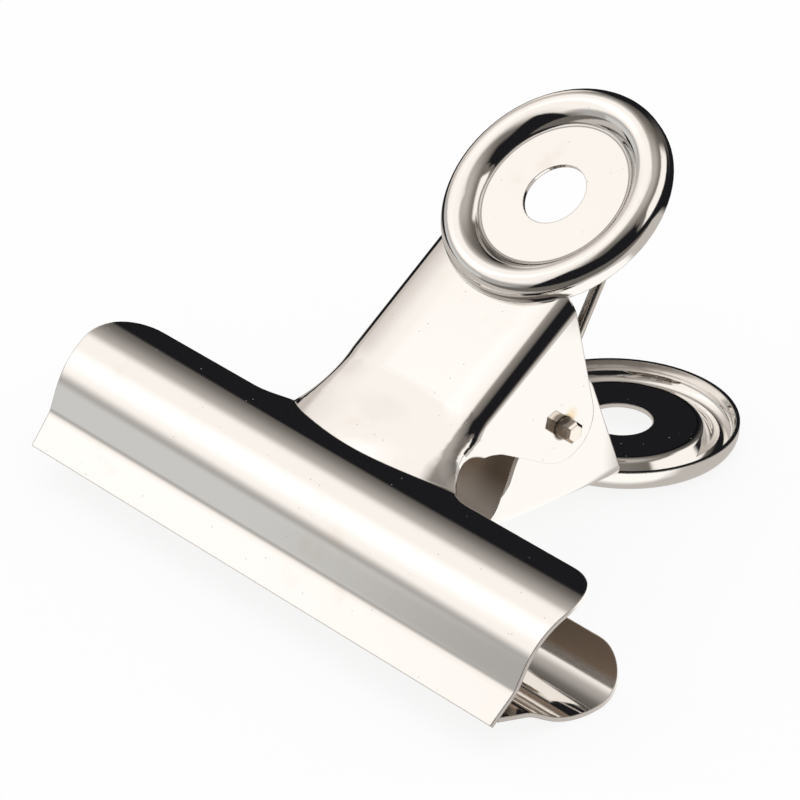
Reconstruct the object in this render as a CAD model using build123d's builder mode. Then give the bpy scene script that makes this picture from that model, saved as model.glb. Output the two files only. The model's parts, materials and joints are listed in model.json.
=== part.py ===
"""Bulldog clip: two pressed sheet-steel halves that turn on a cropped wire pin and are shut by a torsion spring."""

import os
from math import acos, asin, atan2, cos, degrees, pi, radians, sin, sqrt, tan

from build123d import *

# Sizes are in millimetres and degrees. Each half is drawn in its own side view: u runs from the lips to the
# thumb disc, v runs outwards from the line where the two halves meet, and x runs along the hinge pin.
sheet = 0.5

# Jaw, along the outer face of the sheet from the tip of the lip to the barrel's rear edge
lip_width = 74.0
lip_reach = 35.66
lip_slope = 29.0
lip_length = 3.6
crease_radius = 3.9
crease_turn = 19.0
rise_length = 1.8
barrel_radius = 9.5
side_flare = 6.2
rear_corner_radius = 5.6
rear_setback = 0.25

# Thumb disc: the place of its outer flat, its hole, and the bead and skirt around it
disc_reach = 14.52
disc_rise = 17.14
hang_hole_radius = 3.7
bead_crest_radius = 11.35
bead_height = 1.7
bead_radius = 2.0
bead_wall_slope = 48.0
bead_foot_radius = 0.6
skirt_depth = 1.1

# Arm: a channel with the slope of the disc, a little below the disc's flat. Its neck is an arch where it meets
# the barrel and becomes the square channel along its length. The lead is a stretch of the arch inside the barrel
arm_slope = 18.4
web_drop = 0.6
arm_half_width = 10.7
arm_bend_radius = 2.0
neck_lead = 3.0
neck_length = 9.0
neck_sections = 7
neck_depth = 3.1
neck_crown = 1.2
neck_crown_turn = 12.5
neck_side_turn = 18.0
neck_fillet = 6.2
neck_ease = 0.2

# Pivot ears, as cut from the sides of the channel
ear_tip_reach = 0.5
ear_tip_drop = 0.2
ear_tip_radius = 4.5
ear_jaw_edge = 133.5
ear_disc_edge = 86.0
ear_root_radius = 6.0
ear_gap = 0.15

# Hinge pin: its place in each half's own view, where the setback lets the lower lip close behind the upper one
pivot_reach = 0.5
pivot_drop = 0.5
lower_pivot_rise = 0.76
lip_setback = 1.0
lip_gap = 0.03
pin_radius = 1.2
pin_clearance = 0.06
pin_collar = 0.1
pin_end = 1.75
pin_end_radius = 1.32
pin_end_chamfer = 0.3

# Torsion spring: a coil round the pin, with a straight leg under each disc. The upper leg ends in the bead's hollow
wire_radius = 0.65
coil_radius = 2.5
coil_half_length = 5.5
coil_turns = 5
upper_leg_slope = 42.8
lower_leg_slope = 54.0
leg_gap = 0.1
upper_tip_setback = 1.2

# Cutting depth, more than any size of the clip, and how far a cut runs past an edge
past_everything = 60.0
cut_overrun = 0.1


def polar(angle, length=1.0):
    """A vector in a side view, from its angle to u."""
    return Vector(length * cos(radians(angle)), length * sin(radians(angle)))


def turned(point, angle):
    """A point of a side view turned about the origin."""
    return point.rotate(Axis.Z, angle)


# Points of a half's side view that follow from the driving sizes
lip_tip = Vector(-lip_reach, sheet)
disc_centre = Vector(disc_reach, disc_rise)
ear_tip_centre = Vector(ear_tip_reach, -ear_tip_drop)
upper_pivot = Vector(pivot_reach, -pivot_drop)
lower_pivot = Vector(pivot_reach - lip_setback, lower_pivot_rise)
arm_direction = polar(arm_slope)
arm_normal = polar(arm_slope + 90)
rise_slope = lip_slope + crease_turn
crease_start = lip_tip + polar(lip_slope, lip_length)
crease_centre = crease_start + polar(lip_slope + 90, crease_radius)
rise_start = crease_centre + polar(rise_slope - 90, crease_radius)
barrel_centre = rise_start + polar(rise_slope, rise_length) + polar(rise_slope - 90, barrel_radius)
web_over_barrel = (disc_centre - barrel_centre).dot(arm_normal) - web_drop
web_start_angle = arm_slope + degrees(asin(web_over_barrel / barrel_radius))
barrel_end_angle = arm_slope + degrees(asin((web_over_barrel - neck_depth) / barrel_radius))
web_start = barrel_centre + polar(web_start_angle, barrel_radius)
disc_along_web = (disc_centre - web_start).dot(arm_direction)
rim_radius = bead_crest_radius + bead_radius

# How far the lower half turns on the pin until its lip meets the inside of the upper lip
inner_tip = lip_tip + polar(lip_slope - 90, sheet)
upper_tip = inner_tip - upper_pivot
lower_tip = Vector(inner_tip.X - lower_pivot.X, lower_pivot.Y - inner_tip.Y)
lower_tip_angle = degrees(atan2(lower_tip.Y, lower_tip.X))
tip_offset = upper_tip.dot(polar(lip_slope - 90)) + lip_gap
meeting_angle = lip_slope - 90 - degrees(acos(tip_offset / lower_tip.length))
closing_turn = (meeting_angle - lower_tip_angle + 180) % 360 - 180


def in_lower_half(point):
    """Where a point of the lower half's own view lies about the pin, as seen in the upper half's view."""
    return turned(Vector(point.X - lower_pivot.X, lower_pivot.Y - point.Y), closing_turn)


# The clip lies on its lower barrel and on the bead of its lower disc, so the line under both is level
lower_barrel = in_lower_half(barrel_centre)
bead_centre = disc_centre + arm_direction * bead_crest_radius + arm_normal * (bead_height - bead_radius)
rest_line = in_lower_half(bead_centre) - lower_barrel
rest_slope = degrees(atan2(rest_line.Y, rest_line.X))
lie_angle = degrees(asin((bead_radius - barrel_radius) / rest_line.length)) - rest_slope
pin_height = barrel_radius - turned(lower_barrel, lie_angle).Y
pin_centre = Vector(0, 0, pin_height)


def side_plane(pivot, across, turn):
    """The plane of a half's side view, with its pivot on the pin. Across is the half's own x direction."""
    along = Vector(0, cos(radians(lie_angle + turn)), sin(radians(lie_angle + turn)))
    own = Plane(pin_centre, x_dir=along, z_dir=across)
    return Plane(own.from_local_coords(pivot * -1), x_dir=along, z_dir=across)


def bent_line(start, heading, steps, inset):
    """Line along a bent sheet, set in to the right of its outer line. It gives back its two ends.

    A step is a length and a turn. With no turn it is straight, and otherwise it is an arc of that outer length.
    """
    point = start + polar(heading - 90, inset)
    ends = [point]
    for length, turn in steps:
        if turn == 0:
            edge = PolarLine(point, length, heading)
        else:
            radius = length / radians(abs(turn)) + (inset if turn > 0 else -inset)
            edge = JernArc(point, polar(heading), radius, turn)
        point = edge @ 1
        heading += turn
    return ends + [point]


def sheet_outline(start, heading, steps):
    """Closed outline of a bent sheet: its outer line, and the same line one sheet thickness to the right of it."""
    outer_ends = bent_line(start, heading, steps, 0)
    inner_ends = bent_line(start, heading, steps, sheet)
    for outer_end, inner_end in zip(outer_ends, inner_ends):
        Line(outer_end, inner_end)


def bend(radius, turn):
    """A step of a sheet outline given by its outer radius."""
    return radius * radians(abs(turn)), turn


def jaw_outline():
    """Lip, crease and barrel, up to where the sides of the neck end on it."""
    steps = [
        (lip_length, 0),
        bend(crease_radius, crease_turn),
        (rise_length, 0),
        bend(barrel_radius, barrel_end_angle - 90 - rise_slope),
    ]
    sheet_outline(lip_tip, lip_slope, steps)


def channel_side(half_width, opening, flange):
    """Half of the arm's section, from its middle outwards: half the web, a bend and a flange.

    It gives the middle's height and the steps. An opening of 1 is the arch at the barrel, and 0 is the channel.
    """
    closed = (1 - opening) ** 2 * (1 + 2 * opening)
    bend_turn = neck_side_turn + closed * (90 - neck_side_turn)
    steps = [
        (half_width - arm_bend_radius, opening * neck_crown_turn),
        (arm_bend_radius * pi / 2, bend_turn),
        (flange, 0),
    ]
    return (1 - closed) * neck_crown, steps


def channel_run(half_width, opening, flange):
    """Start, heading and steps of the arm's whole section, from the end of one flange to the other."""
    height, side = channel_side(half_width, opening, flange)
    with BuildLine(mode=Mode.PRIVATE):
        middle, start = bent_line(Vector(0, height), 180, side, 0)
    heading = sum(turn for length, turn in side)
    back = [(length, -turn) for length, turn in side[:0:-1]]
    web_length, web_turn = side[0]
    return start, heading, back + [(2 * web_length, -2 * web_turn)] + back[::-1]


def plan_outline(half_width):
    """The half as cut, seen square to the meeting line: flared jaw, rounded rear corners and neck fillets."""
    flare = tan(radians(side_flare))
    front = lip_tip.X - cut_overrun
    rear = web_start.X - rear_setback
    neck_half = half_width + neck_ease
    side = [
        (lip_width / 2 - cut_overrun * flare, front),
        (lip_width / 2 + (rear - lip_tip.X) * flare, rear),
        (neck_half, rear),
        (neck_half, past_everything),
    ]
    corner_radii = [0, rear_corner_radius, neck_fillet, 0]
    mirrored = [(-x, u) for x, u in side[::-1]]
    FilletPolyline(*side, *mirrored, radius=corner_radii + corner_radii[::-1], close=True)


def ear_outline():
    """What is left of the channel in side view: the shallow neck, the rounded ear and the end under the disc."""
    jaw_tangent = ear_tip_centre + polar(ear_jaw_edge + 90, ear_tip_radius)
    disc_tangent = ear_tip_centre + polar(ear_disc_edge - 90, ear_tip_radius)
    tip_arc = ear_disc_edge + 180 - ear_jaw_edge
    neck_line = web_start - arm_normal * neck_depth
    across_jaw_edge = polar(ear_jaw_edge + 90)
    run = (jaw_tangent - neck_line).dot(across_jaw_edge) / arm_direction.dot(across_jaw_edge)
    root = neck_line + arm_direction * run
    neck_end = neck_line - arm_direction * (neck_lead + cut_overrun)
    neck_top = neck_end + arm_normal * (neck_depth + neck_crown + cut_overrun)
    top = disc_tangent + polar(ear_disc_edge, disc_centre.Y)
    FilletPolyline(neck_end, root, jaw_tangent, radius=ear_root_radius)
    CenterArc(ear_tip_centre, ear_tip_radius, ear_jaw_edge + 90, tip_arc)
    Polyline(disc_tangent, top, neck_top, neck_end)


def disc_outline():
    """Section of the thumb disc from its hole to the edge of its skirt, as radius and height."""
    crest_start = Vector(bead_crest_radius, bead_height - bead_radius) + polar(bead_wall_slope + 90, bead_radius)
    foot_rise = bead_foot_radius * (1 - cos(radians(bead_wall_slope)))
    wall_length = (crest_start.Y - foot_rise) / sin(radians(bead_wall_slope))
    wall_run = wall_length * cos(radians(bead_wall_slope)) + bead_foot_radius * sin(radians(bead_wall_slope))
    flat_end = crest_start.X - wall_run
    steps = [
        (flat_end - hang_hole_radius, 0),
        bend(bead_foot_radius, bead_wall_slope),
        (wall_length, 0),
        bend(bead_radius, -90 - bead_wall_slope),
        (skirt_depth + bead_height - bead_radius, 0),
    ]
    sheet_outline(Vector(hang_hole_radius, 0), 0, steps)


def pressed_half(side, half_width, pivot):
    """One half, pressed from a single sheet: jaw, neck, channel arm with ears, and thumb disc."""
    plan = Plane(side.origin, x_dir=side.z_dir, z_dir=side.y_dir)
    along_arm = side.from_local_coords(arm_direction) - side.origin

    def section_plane(point):
        return Plane(side.from_local_coords(point), x_dir=side.z_dir, z_dir=along_arm * -1)

    # The neck and what lies under its sheet, in sections that open from the channel to the arch on the barrel
    neck_faces = []
    under_faces = []
    for number in range(neck_sections):
        along = (neck_length + neck_lead) * number / (neck_sections - 1) - neck_lead
        place = section_plane(web_start + arm_direction * along)
        start, heading, steps = channel_run(half_width, min(1, 1 - along / neck_length), neck_fillet)
        with BuildLine() as outline:
            sheet_outline(start, heading, steps)
        neck_faces.append(place * Face(outline.wire()))
        with BuildLine() as outline:
            first, last = bent_line(start, heading, steps, sheet / 2)
            Polyline(first, (first.X, -barrel_radius), (last.X, -barrel_radius), last)
        under_faces.append(place * Face(outline.wire()))

    with BuildPart() as jaw:
        with BuildSketch(side):
            with BuildLine():
                jaw_outline()
            make_face()
        extrude(amount=lip_width, both=True)
        with BuildSketch(plan):
            with BuildLine():
                plan_outline(half_width)
            make_face()
        extrude(amount=past_everything, both=True, mode=Mode.INTERSECT)
        loft(under_faces, mode=Mode.SUBTRACT)

    with BuildPart() as arm:
        loft(neck_faces)
        with BuildSketch(section_plane(web_start + arm_direction * neck_length)):
            with BuildLine():
                sheet_outline(*channel_run(half_width, 0, past_everything / 2))
            make_face()
        extrude(amount=neck_length - disc_along_web)
        with BuildSketch(side):
            with BuildLine():
                ear_outline()
            make_face()
        extrude(amount=lip_width, both=True, mode=Mode.INTERSECT)
        with BuildSketch(plan):
            with BuildLine():
                plan_outline(half_width)
            make_face()
        extrude(amount=past_everything, both=True, mode=Mode.INTERSECT)
        disc_plane = section_plane(disc_centre)
        with BuildSketch(Plane(disc_plane.origin, x_dir=side.z_dir, z_dir=disc_plane.y_dir)):
            Circle(rim_radius - sheet / 2)
        extrude(amount=past_everything, both=True, mode=Mode.SUBTRACT)
        with BuildSketch(side):
            with Locations(pivot):
                Circle(pin_radius + pin_clearance)
            with Locations(barrel_centre):
                Circle(barrel_radius - sheet / 2)
        extrude(amount=lip_width, both=True, mode=Mode.SUBTRACT)

    with BuildPart() as disc:
        with BuildSketch(section_plane(disc_centre)):
            with BuildLine():
                disc_outline()
            make_face()
        revolve(axis=Axis(disc_plane.origin, disc_plane.y_dir))

    with BuildPart() as half:
        add(jaw.part)
        add(arm.part)
        add(disc.part)
    return half


upper_side = side_plane(upper_pivot, Vector(1, 0, 0), 0)
lower_side = side_plane(lower_pivot, Vector(-1, 0, 0), closing_turn)
upper_half = pressed_half(upper_side, arm_half_width, upper_pivot)
lower_half = pressed_half(lower_side, arm_half_width - sheet - ear_gap, lower_pivot)

# Wire pin: just past each ear it is cropped to a chamfered six-sided end, which keeps it in its holes
pin_plane = Plane(pin_centre, x_dir=upper_side.x_dir, z_dir=(1, 0, 0))
shaft_end = arm_half_width + pin_collar
with BuildPart() as hinge_pin:
    with BuildSketch(pin_plane):
        Circle(pin_radius)
    extrude(amount=shaft_end, both=True)
    for end in (1, -1):
        with BuildSketch(pin_plane.offset(end * shaft_end)):
            RegularPolygon(pin_end_radius, 6)
        extrude(amount=end * pin_end)
    end_faces = hinge_pin.faces().sort_by(Axis.X)
    chamfer(end_faces[0].edges() + end_faces[-1].edges(), pin_end_chamfer)


def leg_run(leg_slope, tilt, disc_distance):
    """Length of a leg from the coil to just short of the inside of a disc that far from the pin."""
    angle = radians(leg_slope - tilt)
    return (disc_distance - sheet - leg_gap + (coil_radius - wire_radius) * cos(angle)) / sin(angle)


def coil_point(x, angle):
    """A point of the wire's centre line round the pin, at an angle in the upper half's side view."""
    return pin_plane.from_local_coords(polar(angle, coil_radius) + Vector(0, 0, x))


def coil_tangent(angle, pitch):
    """Direction of the wire there, where it climbs by that pitch in a turn."""
    step = polar(angle + 90, coil_radius) + Vector(0, 0, pitch / (2 * pi))
    return (pin_plane.from_local_coords(step) - pin_centre).normalized()


def biarc(start, start_tangent, end, end_tangent):
    """Two tangent arcs between two points with given directions."""
    span = end - start
    both = start_tangent + end_tangent
    bow = 2 * (1 - start_tangent.dot(end_tangent))
    reach = (sqrt(span.dot(both) ** 2 + bow * span.dot(span)) - span.dot(both)) / bow
    before = start + start_tangent * reach
    after = end - end_tangent * reach
    middle = (before + after) * 0.5
    TangentArc(start, middle, tangent=start_tangent)
    TangentArc(middle, end, tangent=after - before)


# The coil climbs from the lower leg to the upper one in quarter turns, and starts and ends square to the pin
lower_leg_angle = 90 - lower_leg_slope
coil_sweep = 360 * coil_turns - lower_leg_angle - (90 - upper_leg_slope)
quarters = round(coil_sweep / 90)
quarter_turn = coil_sweep / quarters
quarter_climb = 2 * coil_half_length / (quarters - 1)
pitch = quarter_climb * 360 / quarter_turn
upper_leg = leg_run(upper_leg_slope, arm_slope, (disc_centre - upper_pivot).dot(arm_normal)) - upper_tip_setback
lower_leg = leg_run(lower_leg_slope, arm_slope - closing_turn, (disc_centre - lower_pivot).dot(arm_normal))
with BuildPart() as torsion_spring:
    with BuildLine() as wire_line:
        point = coil_point(-coil_half_length, lower_leg_angle)
        tangent = coil_tangent(lower_leg_angle, 0)
        leg_tip = point - tangent * lower_leg
        leg_direction = tangent
        Line(leg_tip, point)
        for quarter in range(1, quarters + 1):
            last = quarter == quarters
            climbed = 2 * coil_half_length if last else (quarter - 0.5) * quarter_climb
            angle = lower_leg_angle + quarter * quarter_turn
            next_point = coil_point(climbed - coil_half_length, angle)
            next_tangent = coil_tangent(angle, 0 if last else pitch)
            biarc(point, tangent, next_point, next_tangent)
            point = next_point
            tangent = next_tangent
        Line(point, point + tangent * upper_leg)
    with BuildSketch(Plane(leg_tip, z_dir=leg_direction)):
        Circle(wire_radius)
    sweep()


def least_gap(line):
    """Least gap between turns of the wire, on points along its centre line."""
    count = round(line.length / wire_radius)
    points = [line @ (i / count) for i in range(count + 1)]
    apart = round(coil_radius * pi / wire_radius)
    pairs = [(a, b) for i, a in enumerate(points) for b in points[i + apart :]]
    return min((a - b).length for a, b in pairs) - 2 * wire_radius


print(f"least gap of the spring to itself {least_gap(wire_line.wire()):.2f} mm")

# The part stands on the floor with the middle of its length at the origin
pieces = {
    "upper_half": upper_half,
    "lower_half": lower_half,
    "hinge_pin": hinge_pin,
    "torsion_spring": torsion_spring,
}
boxes = [piece.part.bounding_box() for piece in pieces.values()]
middle = (min(box.min.Y for box in boxes) + max(box.max.Y for box in boxes)) / 2
os.makedirs("parts", exist_ok=True)
for name, piece in pieces.items():
    piece.part = piece.part.moved(Location((0, -middle, 0)))
    piece.part.label = name
    export_step(piece.part, f"parts/{name}.step")
print(f"pin at y {-middle:.4f}, z {pin_height:.4f}, lie angle {lie_angle:.4f}, closing turn {closing_turn:.4f}")
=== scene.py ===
"""Looks of the bulldog clip: polished nickel plate and drawn spring wire in a white studio."""

import json
from math import asin, cos, degrees, radians, sin

import bpy
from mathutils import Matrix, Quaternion, Vector


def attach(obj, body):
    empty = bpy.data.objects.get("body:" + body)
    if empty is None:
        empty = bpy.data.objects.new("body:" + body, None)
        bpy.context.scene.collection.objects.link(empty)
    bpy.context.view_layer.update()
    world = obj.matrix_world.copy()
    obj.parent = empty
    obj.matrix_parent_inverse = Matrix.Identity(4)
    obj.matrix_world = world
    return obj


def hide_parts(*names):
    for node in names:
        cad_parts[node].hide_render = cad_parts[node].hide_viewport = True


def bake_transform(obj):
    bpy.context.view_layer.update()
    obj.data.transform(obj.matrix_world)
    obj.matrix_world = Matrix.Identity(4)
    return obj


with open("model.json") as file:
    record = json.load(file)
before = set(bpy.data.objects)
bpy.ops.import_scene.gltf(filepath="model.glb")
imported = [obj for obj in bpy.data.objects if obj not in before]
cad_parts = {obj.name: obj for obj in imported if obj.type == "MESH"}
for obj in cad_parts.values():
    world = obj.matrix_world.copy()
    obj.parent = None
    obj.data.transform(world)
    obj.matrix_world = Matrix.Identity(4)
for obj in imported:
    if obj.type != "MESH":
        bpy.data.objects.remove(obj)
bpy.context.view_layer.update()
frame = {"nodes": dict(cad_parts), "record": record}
hang_holes = {mount["name"]: mount for mount in frame["record"]["mounts"]}
mm = 0.001

# Camera of the photograph: where it stands, a point in the middle of its picture, its roll in degrees,
# its lens and sensor in millimetres, and the nearest distance that it shows
camera_place = Vector((329.41, -309.53, 269.69)) * mm
camera_aim = Vector((-10.30, -3.40, 9.45)) * mm
camera_roll = 0.42
camera_lens = 216.99
camera_sensor = 36.0
camera_near = 0.01

# Pieces: the distance within which points are one, the angle between faces past which an edge is sharp, and
# the rounding that plating leaves on such an edge
merge_distance = 0.0005 * mm
sharp_angle = 40.0
edge_round = 0.18 * mm
edge_samples = 6

# Bead round each thumb disc: radii of its crest, of the lower end of its round wall and of its foot on the
# flat, and the radius of the arc that the wall's normals follow
bead_crest = 11.35 * mm
bead_wall = 9.10 * mm
bead_foot = 8.66 * mm
bead_arc = 2.71 * mm

# Rear edge of the upper barrel, which looks flat: lowest and highest y and z of this tail, its lean, and the
# most sideways and least upward normal that its faces have
tail_low = (-21.8 * mm, 13.0 * mm)
tail_high = (-17.0 * mm, 15.2 * mm)
tail_lean = -0.03
tail_sideways = 0.02
tail_upward = 0.9

# Flat of the upper arm, which looks as if it fell away towards its bends: its normal, how closely a face has
# to follow it, the rise along it at which the arm ends, and the depths at which it begins at the neck and ends
# at the disc. For the left and the right: distances from the middle, and the lean at the first and the second
web_normal = (0, -0.584, 0.812)
web_facing = (0.80, 0.95)
web_rise = (22.7 * mm, 23.3 * mm)
web_start = (-15.5 * mm, -9.5 * mm)
web_end = (1.5 * mm, 3.0 * mm)
web_left = (3.5 * mm, 9.0 * mm, 0.0, 0.25)
web_right = (5.0 * mm, 9.5 * mm, 0.0, 0.14)

# Cut edges of the sheet, duller than its faces: colour, how much the rounding turns a normal there, and share
cut_edge = (0.46, 0.41, 0.36, 1)
cut_turn = (0.80, 0.97)
cut_share = 0.75

# Unevenness of the polish: scale and detail of broad clouds, of blotches and of fine peel. Where clouds and
# blotches are both strong the plate is stained
cloud_noise = (90.0, 4.0)
blotch_noise = (240.0, 3.0)
peel_noise = (900.0, 2.0)
stain_strength = (0.33, 0.50)
stain_share = 0.25

# Dust: specks in a few of many small cells, by a cell's chance and by the distance from its middle
dust_grey = (0.34, 0.31, 0.28, 1)
dust_scale = 1200.0
dust_chance = (0.72, 0.74)
dust_size = (0.04, 0.10)
dust_cover = 0.9

# Hairline scratches: how their long cells are turned and stretched, the blotches that have them, their width
hair_turn = (0.4, 0.7, 0.5)
hair_stretch = (220.0, 9000.0, 9000.0)
hair_blotches = (0.58, 0.66)
hair_width = (0.05, 0.16)

# Painted shade on faces that look into the clip: a dull brown film, less metallic and rougher than the plate.
# It lies below a level and between two depths, and is tan under the arm
shade_film_brown = (0.34, 0.25, 0.18, 1)
shade_film_tan = (0.92, 0.84, 0.75, 1)
clip_middle = (0, -21.0 * mm, 7.5 * mm)
shade_film_facing = (0.0, 1.0 * mm)
shade_film_level = (13.0 * mm, 16.0 * mm)
shade_film_front = (-17.8 * mm, -16.2 * mm)
shade_film_back = (5.0 * mm, 9.0 * mm)
tan_front = (-13.0 * mm, -9.0 * mm)
tan_back = (-6.0 * mm, 1.0 * mm)
shade_film_cover = 0.4
tan_cover = 0.4

# Roughness that each of these adds to the plate's own
cloud_dulling = 0.02
hair_dulling = 0.06
dust_dulling = 0.6
shade_film_dulling = 0.3

# Relief of the plate: height of a blotch, and the shares of it that peel and hairlines have
relief_height = 0.0008 * mm
peel_relief = 0.5
hair_relief = 0.4

# Painted shade in the crease at the foot of each bead, a dark brown line: its colour, its share, the distances
# from the crease over which it fades, and the distances from the disc's flat over which it ends
crease_shade_brown = (0.15, 0.125, 0.105, 1)
crease_share = 0.75
crease_fade = (0.03 * mm, 0.16 * mm)
crease_depth = (0.8 * mm, 1.2 * mm)

# Marks beside the pin's seen end, a grease ring and a tan bloom: place, distances over which a mark fades, and
# colour
pin_marks = (
    ((10.7 * mm, 1.17 * mm, 13.41 * mm), (1.35 * mm, 1.65 * mm), (0.10, 0.07, 0.05, 1)),
    ((10.7 * mm, 2.2 * mm, 14.5 * mm), (0.1 * mm, 1.3 * mm), (0.82, 0.66, 0.44, 1)),
)
mark_share = 0.8

# Studio: tones of what the polished plate mirrors, and the heights over which the wall becomes the ceiling
tent_lamp = (1.27, 1.27, 1.26, 1)
tent_white = (1.11, 1.065, 1.02, 1)
tent_side = (0.62, 0.585, 0.555, 1)
tent_edge = (0.66, 0.605, 0.565, 1)
tent_hem = (0.46, 0.445, 0.43, 1)
tent_foot = (0.67, 0.67, 0.66, 1)
room_wall = (0.19, 0.172, 0.155, 1)
room_ceiling = (0.52, 0.49, 0.46, 1)
ceiling_heights = (52.0, 82.0)
wall_shade = (0.10, 0.09, 0.08, 1)
cream_card = (0.90, 0.85, 0.77, 1)
black_card = (0.012, 0.012, 0.014, 1)

# Fields of the studio from the back to the front: tone, azimuth of the middle (0 is -Y and 90 is +X), sides,
# heights and lean, in degrees. A field begins from its first to its second side or height and ends from its
# third to its fourth
below = (-91.0, -90.0)
studio_fields = (
    (tent_side, 300.0, (-90.0, -46.0, 44.0, 96.0), (8.0, 26.0, 66.0, 105.0), 0.35),
    (tent_white, 300.0, (-61.0, -42.0, 44.0, 96.0), (8.0, 26.0, 66.0, 105.0), 0.35),
    (tent_lamp, 300.0, (-13.0, 1.0, 6.0, 18.0), (22.0, 36.0, 42.0, 62.0), 0.0),
    (tent_edge, 262.0, (-30.0, -14.0, 0.0, 28.0), (*below, 20.0, 46.0), 0.0),
    (tent_hem, 310.0, (-45.0, -20.0, 25.0, 50.0), (*below, 14.0, 25.0), 0.0),
    (tent_foot, 310.0, (-45.0, -15.0, 8.5, 12.5), (*below, 9.0, 16.5), 0.0),
    (tent_white, 138.0, (-42.0, -34.0, 34.0, 46.0), (12.0, 17.0, 46.0, 56.0), 0.0),
    (black_card, 138.0, (-50.0, -40.0, 60.0, 80.0), (*below, 17.0, 23.0), 0.0),
    (black_card, 48.0, (-56.0, -30.0, 57.0, 62.0), (*below, 46.0, 58.0), 0.65),
    (black_card, 40.0, (-46.0, -41.0, 47.0, 50.0), (*below, 38.0, 44.0), 0.0),
    (wall_shade, 213.0, (-50.0, -15.0, 15.0, 50.0), (*below, 36.0, 58.0), 0.0),
    (cream_card, 242.0, (-9.0, -5.0, 5.0, 9.0), (*below, 22.0, 34.0), 0.0),
    (black_card, 213.0, (-22.0, -4.0, 21.0, 24.0), (*below, 36.0, 40.5), 0.0),
)

# Floor: its radius, its place just under the clip, its paper, and how much of it the camera sees as plain white
floor_radius = 3.0
floor_place = (0, 0, -0.02 * mm)
floor_white = (0.95, 0.95, 0.95, 1)
floor_white_share = 0.85

# Floor as the metal mirrors it, with painted shade and light: paper, painted shade in one direction and a
# painted black patch in another past some distances, and a painted pool of light round a spot beside the ears,
# on one side of a line
floor_paper = (0.58, 0.545, 0.515, 1)
floor_shade = (0.16, 0.145, 0.13, 1)
shade_direction, shade_distances = (0.66, -0.75, 0), (45.0 * mm, 75.0 * mm)
black_direction, black_distances = (-0.57, 0.82, 0), (55.0 * mm, 85.0 * mm)
floor_lit = (1.15, 1.13, 1.10, 1)
lit_middle, lit_distances = (26.0 * mm, 13.0 * mm, 0), (24.0 * mm, 38.0 * mm)
lit_direction, lit_line = (1, -1, 0), (-1.5 * mm, 2.5 * mm)


class Socket:
    """A node's output. Sums, differences and products of it are Math nodes."""

    def __init__(self, tree, output):
        self.tree = tree
        self.output = output

    def math(self, operation, *values):
        return self.tree.add("ShaderNodeMath", {"operation": operation}, dict(enumerate(values)))

    def __add__(self, other):
        return self.math("ADD", self, other)

    def __radd__(self, other):
        return self.math("ADD", other, self)

    def __sub__(self, other):
        return self.math("SUBTRACT", self, other)

    def __rsub__(self, other):
        return self.math("SUBTRACT", other, self)

    def __mul__(self, other):
        return self.math("MULTIPLY", self, other)

    def __rmul__(self, other):
        return self.math("MULTIPLY", other, self)


class NodeTree:
    """The nodes of a material or of the world, with one method that adds any node."""

    def __init__(self, owner):
        owner.use_nodes = True
        self.tree = owner.node_tree
        self.tree.nodes.clear()

    def add(self, kind, settings=None, inputs=None, output=0):
        node = self.tree.nodes.new(kind)
        for name, value in (settings or {}).items():
            setattr(node, name, value)
        for name, value in (inputs or {}).items():
            if isinstance(value, Socket):
                self.tree.links.new(value.output, node.inputs[name])
            else:
                node.inputs[name].default_value = value
        return Socket(self, node.outputs[output]) if node.outputs else None

    def ramp(self, value, low, high, low_result=0.0, high_result=1.0):
        """A smooth step from one result to another while a value goes from low to high."""
        values = {"Value": value, "From Min": low, "From Max": high}
        results = {"To Min": low_result, "To Max": high_result}
        return self.add("ShaderNodeMapRange", {"interpolation_type": "SMOOTHSTEP"}, values | results)

    def fade(self, value, low, high, full=1.0):
        """A smooth step down to nothing while a value goes from low to high."""
        return self.ramp(value, low, high, full, 0.0)

    def noise(self, place, scale, detail):
        """Soft noise between 0 and 1."""
        return self.add("ShaderNodeTexNoise", inputs={"Vector": place, "Scale": scale, "Detail": detail})

    def vector(self, operation, first, second=(0, 0, 0), output="Vector"):
        """A Vector Math node."""
        return self.add("ShaderNodeVectorMath", {"operation": operation}, {0: first, 1: second}, output)

    def dot(self, first, second):
        """The dot product of two vectors."""
        return self.vector("DOT_PRODUCT", first, second, "Value")

    def distance(self, first, second):
        """The distance between two points."""
        return self.vector("DISTANCE", first, second, "Value")

    def mixed(self, share, first, second):
        """A colour between two colours."""
        inputs = {"Factor": share, 6: first, 7: second}
        return self.add("ShaderNodeMix", {"data_type": "RGBA"}, inputs, 2)


def dust_specks(tree, place):
    """How much dust a point carries."""
    cells = {"Vector": place, "Scale": dust_scale}
    from_middle = tree.add("ShaderNodeTexVoronoi", inputs=cells, output="Distance")
    chance = tree.add("ShaderNodeTexVoronoi", inputs=cells, output="Color")
    return tree.ramp(chance, *dust_chance) * tree.fade(from_middle, *dust_size)


def hairline_scratches(tree, place, blotches):
    """How much a point lies in a hairline scratch."""
    stretched = {"Vector": place, "Rotation": hair_turn, "Scale": hair_stretch}
    cells = {"Vector": tree.add("ShaderNodeMapping", inputs=stretched), "Scale": 1.0}
    from_middle = tree.add("ShaderNodeTexVoronoi", inputs=cells, output="Distance")
    return tree.ramp(blotches, *hair_blotches) * tree.fade(from_middle, *hair_width)


def inner_shade_film(tree, place, normal):
    """How much painted shade film a point carries, and how much of it is tan."""
    depth = tree.dot(place, (0, 1, 0))
    level = tree.dot(place, (0, 0, 1))
    facing = tree.dot(normal, tree.vector("SUBTRACT", clip_middle, place))
    shade_film = tree.ramp(facing, *shade_film_facing) * tree.fade(level, *shade_film_level)
    shade_film = shade_film * tree.ramp(depth, *shade_film_front) * tree.fade(depth, *shade_film_back)
    return shade_film, tree.ramp(depth, *tan_front) * tree.fade(depth, *tan_back)


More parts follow.
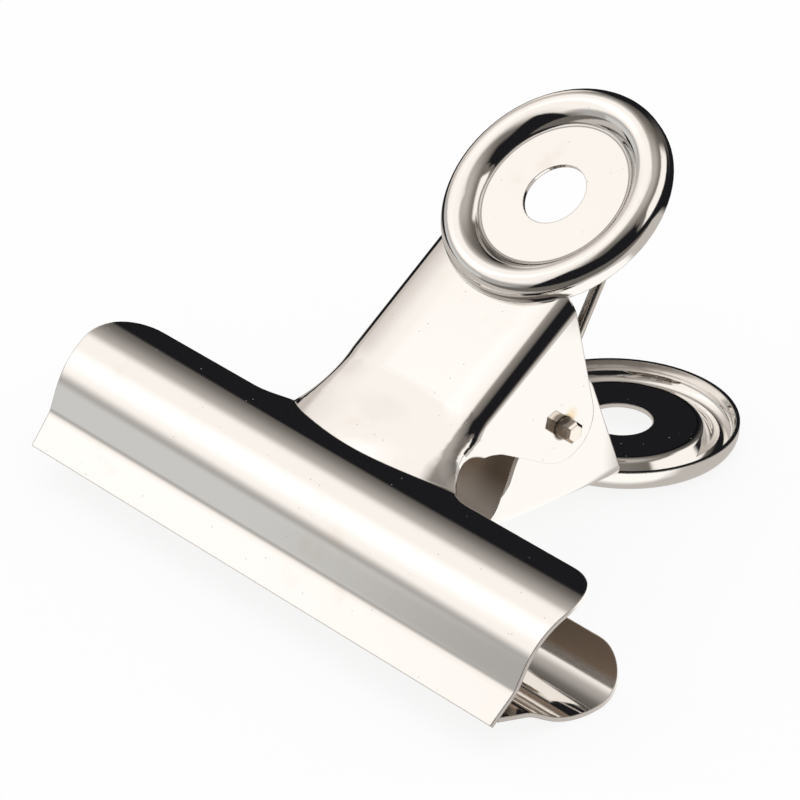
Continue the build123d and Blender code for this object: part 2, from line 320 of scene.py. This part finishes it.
def painted_crease_shade(tree, place, hang_hole):
    """How much painted shade a point has in the crease at the foot of a thumb disc's bead."""
    centre = Vector(hang_hole["pos_m"])
    axis = Vector(hang_hole["axis"])
    away = tree.distance(place, centre)
    along = tree.dot(place, axis) - centre.dot(axis)
    square = away * away - along * along
    past_foot = square.math("SQRT", square) - bead_foot
    off_crease = past_foot.math("ABSOLUTE", past_foot)
    off_flat = along.math("ABSOLUTE", along)
    return tree.fade(off_crease, *crease_fade, crease_share) * tree.fade(off_flat, *crease_depth)


def fallen_sides(tree, place, normal, rounded):
    """Rounded normals that lean outwards towards the bends of the upper arm's flat."""
    across = tree.dot(place, (1, 0, 0))
    depth = tree.dot(place, (0, 1, 0))
    lean = tree.ramp(across, *web_right) - tree.ramp(0.0 - across, *web_left)
    lean = lean * tree.ramp(tree.dot(normal, web_normal), *web_facing)
    lean = lean * tree.fade(tree.dot(place, web_normal), *web_rise)
    lean = lean * tree.ramp(depth, *web_start) * tree.fade(depth, *web_end)
    sideways = tree.add("ShaderNodeCombineXYZ", inputs={"X": lean})
    return tree.vector("NORMALIZE", tree.vector("ADD", rounded, sideways))


def nickel_finish(name, plate, stain, roughness):
    """Polished nickel plate with rounded edges, clouds, stains, marks, painted crease shade, a painted shade
    film, dust and hairlines.
    """
    material = bpy.data.materials.new(name)
    tree = NodeTree(material)
    place = tree.add("ShaderNodeTexCoord", output="Object")
    normal = tree.add("ShaderNodeNewGeometry", output="Normal")
    rounded = tree.add("ShaderNodeBevel", {"samples": edge_samples}, {"Radius": edge_round})
    clouds = tree.noise(place, *cloud_noise)
    blotches = tree.noise(place, *blotch_noise)
    peel = tree.noise(place, *peel_noise)
    dust = dust_specks(tree, place)
    hairlines = hairline_scratches(tree, place, blotches)
    shade_film, tan = inner_shade_film(tree, place, normal)

    stained = tree.ramp(clouds * blotches, *stain_strength, 0.0, stain_share)
    colour = tree.mixed(stained, plate, stain)
    for centre, fade, tint in pin_marks:
        colour = tree.mixed(tree.fade(tree.distance(place, centre), *fade, mark_share), colour, tint)
    # Painted shade: a dark brown line in the crease at the foot of each bead
    for hang_hole in hang_holes.values():
        colour = tree.mixed(painted_crease_shade(tree, place, hang_hole), colour, crease_shade_brown)
    # Painted shade: a brown film on faces that look into the clip, tan under the arm
    colour = tree.mixed(shade_film, colour, tree.mixed(tan, shade_film_brown, shade_film_tan))
    colour = tree.mixed(dust, colour, dust_grey)
    colour = tree.mixed(tree.fade(tree.dot(rounded, normal), *cut_turn, cut_share), colour, cut_edge)

    dulling = clouds * cloud_dulling + hairlines * hair_dulling + dust * dust_dulling + shade_film * shade_film_dulling
    metal = 1.0 - dust * dust_cover - shade_film * (shade_film_cover + tan * tan_cover)
    relief = {
        "Strength": 1.0,
        "Distance": relief_height,
        "Height": peel * peel_relief + blotches - hairlines * hair_relief,
        "Normal": fallen_sides(tree, place, normal, rounded),
    }
    surface = {
        "Base Color": colour,
        "Metallic": metal,
        "Roughness": roughness + dulling,
        "Normal": tree.add("ShaderNodeBump", inputs=relief),
    }
    shader = tree.add("ShaderNodeBsdfPrincipled", inputs=surface)
    tree.add("ShaderNodeOutputMaterial", inputs={"Surface": shader})
    return material


def studio_field(tree, direction, height, azimuth, sides, heights, lean):
    """How much a direction lies in a field of the studio. Lean draws its sides in as they rise."""
    turn = radians(azimuth)
    across = tree.dot(direction, (cos(turn), sin(turn), 0))
    ahead = tree.dot(direction, (sin(turn), -cos(turn), 0))
    sideways = across.math("ARCTAN2", across, ahead) * degrees(1)
    begun = tree.ramp(sideways - height * lean, *sides[:2]) * tree.ramp(height, *heights[:2])
    kept = tree.fade(sideways + height * lean, *sides[2:])
    return begun * kept * tree.fade(height, *heights[2:])


def studio_world():
    """A white tent and dark cards in a dim room, as the metal shows them. All else sees plain white light."""
    world = bpy.data.worlds.new("white_tent")
    bpy.context.scene.world = world
    tree = NodeTree(world)
    direction = tree.add("ShaderNodeTexCoord", output="Generated")
    up = tree.dot(direction, (0, 0, 1))
    height = up.math("ARCSINE", up) * degrees(1)
    tone = tree.mixed(tree.ramp(height, *ceiling_heights), room_wall, room_ceiling)
    for colour, *extent in studio_fields:
        tone = tree.mixed(studio_field(tree, direction, height, *extent), tone, colour)
    in_metal = tree.add("ShaderNodeLightPath", output="Is Glossy Ray")
    white = tree.add("ShaderNodeBackground", inputs={"Color": (1, 1, 1, 1), "Strength": 1.0})
    tent = tree.add("ShaderNodeBackground", inputs={"Color": tone, "Strength": 1.0})
    shown = tree.add("ShaderNodeMixShader", inputs={"Fac": in_metal, 1: white, 2: tent})
    tree.add("ShaderNodeOutputWorld", inputs={"Surface": shown})


def studio_floor():
    """A pale floor that looks white and keeps the clip's shadow. Metal shows it with painted shade, a painted
    dark patch and a painted pool of light.
    """
    bpy.ops.mesh.primitive_circle_add(
        vertices=96, radius=floor_radius, fill_type="NGON", location=floor_place
    )
    floor = bpy.context.active_object
    floor.name = "studio_floor"
    material = bpy.data.materials.new("white_floor")
    tree = NodeTree(material)
    place = tree.add("ShaderNodeTexCoord", output="Object")
    # Painted shade, a painted dark patch and a painted pool of light, seen only in the metal's reflections
    shaded = tree.ramp(tree.dot(place, shade_direction), *shade_distances)
    painted_dark = tree.ramp(tree.dot(place, black_direction), *black_distances)
    lit = tree.fade(tree.distance(place, lit_middle), *lit_distances)
    lit = lit * tree.ramp(tree.dot(place, lit_direction), *lit_line)
    tone = tree.mixed(shaded, floor_paper, floor_shade)
    tone = tree.mixed(painted_dark, tone, black_card)
    tone = tree.mixed(lit, tone, floor_lit)
    seen = tree.add("ShaderNodeLightPath", output="Is Camera Ray")
    in_metal = tree.add("ShaderNodeLightPath", output="Is Glossy Ray")
    paper = tree.add("ShaderNodeBsdfDiffuse", inputs={"Color": floor_white})
    white = tree.add("ShaderNodeEmission", inputs={"Color": (1, 1, 1, 1), "Strength": 1.0})
    mirrored = tree.add("ShaderNodeEmission", inputs={"Color": tone, "Strength": 1.0})
    shown = tree.add("ShaderNodeMixShader", inputs={"Fac": seen * floor_white_share, 1: paper, 2: white})
    shown = tree.add("ShaderNodeMixShader", inputs={"Fac": in_metal, 1: shown, 2: mirrored})
    tree.add("ShaderNodeOutputMaterial", inputs={"Surface": shown})
    floor.data.materials.append(material)


def photograph_camera():
    """The camera that took the photograph."""
    camera = bpy.data.objects.new("camera", bpy.data.cameras.new("camera"))
    bpy.context.scene.collection.objects.link(camera)
    bpy.context.scene.camera = camera
    look = camera_aim - camera_place
    camera.rotation_mode = "QUATERNION"
    camera.location = camera_place
    roll = Quaternion((0, 0, 1), radians(camera_roll))
    camera.rotation_quaternion = look.to_track_quat("-Z", "Y") @ roll
    camera.data.lens = camera_lens
    camera.data.sensor_width = camera_sensor
    camera.data.clip_start = camera_near


def dressed_piece(node, name, material):
    """A smooth copy of a CAD node, with merged points and flat normals on the flats."""
    source = frame["nodes"][node]
    piece = bpy.data.objects.new(name, source.data.copy())
    bpy.context.scene.collection.objects.link(piece)
    bpy.ops.object.select_all(action="DESELECT")
    piece.select_set(True)
    bpy.context.view_layer.objects.active = piece
    bpy.ops.object.mode_set(mode="EDIT")
    bpy.ops.mesh.select_all(action="SELECT")
    bpy.ops.mesh.customdata_custom_splitnormals_clear()
    bpy.ops.mesh.remove_doubles(threshold=merge_distance)
    bpy.ops.object.mode_set(mode="OBJECT")
    bpy.ops.object.shade_smooth_by_angle(angle=radians(sharp_angle))
    weights = piece.modifiers.new("flats", "WEIGHTED_NORMAL")
    weights.keep_sharp = True
    bpy.ops.object.modifier_apply(modifier=weights.name)
    piece.data.materials.clear()
    piece.data.materials.append(material)
    return piece


def change_normals(piece, changed):
    """Replace each normal of a piece by what a function makes of its point and itself."""
    mesh = piece.data
    normals = [corner.vector.copy() for corner in mesh.corner_normals]
    for loop in mesh.loops:
        normals[loop.index] = changed(mesh.vertices[loop.vertex_index].co, normals[loop.index])
    mesh.normals_split_custom_set(normals)


def round_bead(piece, hang_hole):
    """Give the wall inside a thumb disc's bead the normals of one round arc from its crest to its foot."""
    centre = Vector(hang_hole["pos_m"])
    axis = Vector(hang_hole["axis"])

    def rounded(place, normal):
        spoke = place - centre
        spoke -= axis * spoke.dot(axis)
        if not bead_foot < spoke.length < bead_crest or normal.dot(axis) < 0:
            return normal
        share = min(1.0, (spoke.length - bead_foot) / (bead_wall - bead_foot))
        slope = asin((bead_crest - max(spoke.length, bead_wall)) / bead_arc) * share
        return axis * cos(slope) - spoke.normalized() * sin(slope)

    change_normals(piece, rounded)


def flatten_tail(piece):
    """Give the barrel's rear edge beside the neck the normals of a flat, as the end of a rolled sheet has."""
    tail = Vector((0, tail_lean, 1)).normalized()

    def flattened(place, normal):
        in_place = tail_low[0] < place.y < tail_high[0] and tail_low[1] < place.z < tail_high[1]
        on_top = abs(normal.x) < tail_sideways and normal.z > tail_upward
        return tail if in_place and on_top and normal.y > tail.y else normal

    change_normals(piece, flattened)


sheet_plate = nickel_finish("nickel_sheet", (0.86, 0.84, 0.815, 1), (0.72, 0.62, 0.50, 1), 0.03)
wire_plate = nickel_finish("nickel_wire", (0.85, 0.80, 0.73, 1), (0.50, 0.38, 0.26, 1), 0.04)
spring_plate = nickel_finish("spring_wire", (0.78, 0.74, 0.69, 1), (0.50, 0.42, 0.33, 1), 0.12)

upper = dressed_piece("upper_half", "upper_pressing", sheet_plate)
lower = dressed_piece("lower_half", "lower_pressing", sheet_plate)
round_bead(upper, hang_holes["upper_hang_hole"])
flatten_tail(upper)
round_bead(lower, hang_holes["lower_hang_hole"])
pin = dressed_piece("hinge_pin", "cropped_pin", wire_plate)
spring = dressed_piece("torsion_spring", "coiled_spring", spring_plate)

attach(upper, "upper")
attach(lower, "lower")
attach(pin, "lower")
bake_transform(spring)
for piece, node, slot in (
    (upper, "upper_half", "nickel_sheet"),
    (lower, "lower_half", "nickel_sheet"),
    (pin, "hinge_pin", "nickel_wire"),
    (spring, "torsion_spring", "spring_wire"),
):
    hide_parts(node)

studio_world()
studio_floor()
photograph_camera()
bpy.context.scene.view_settings.view_transform = "Standard"
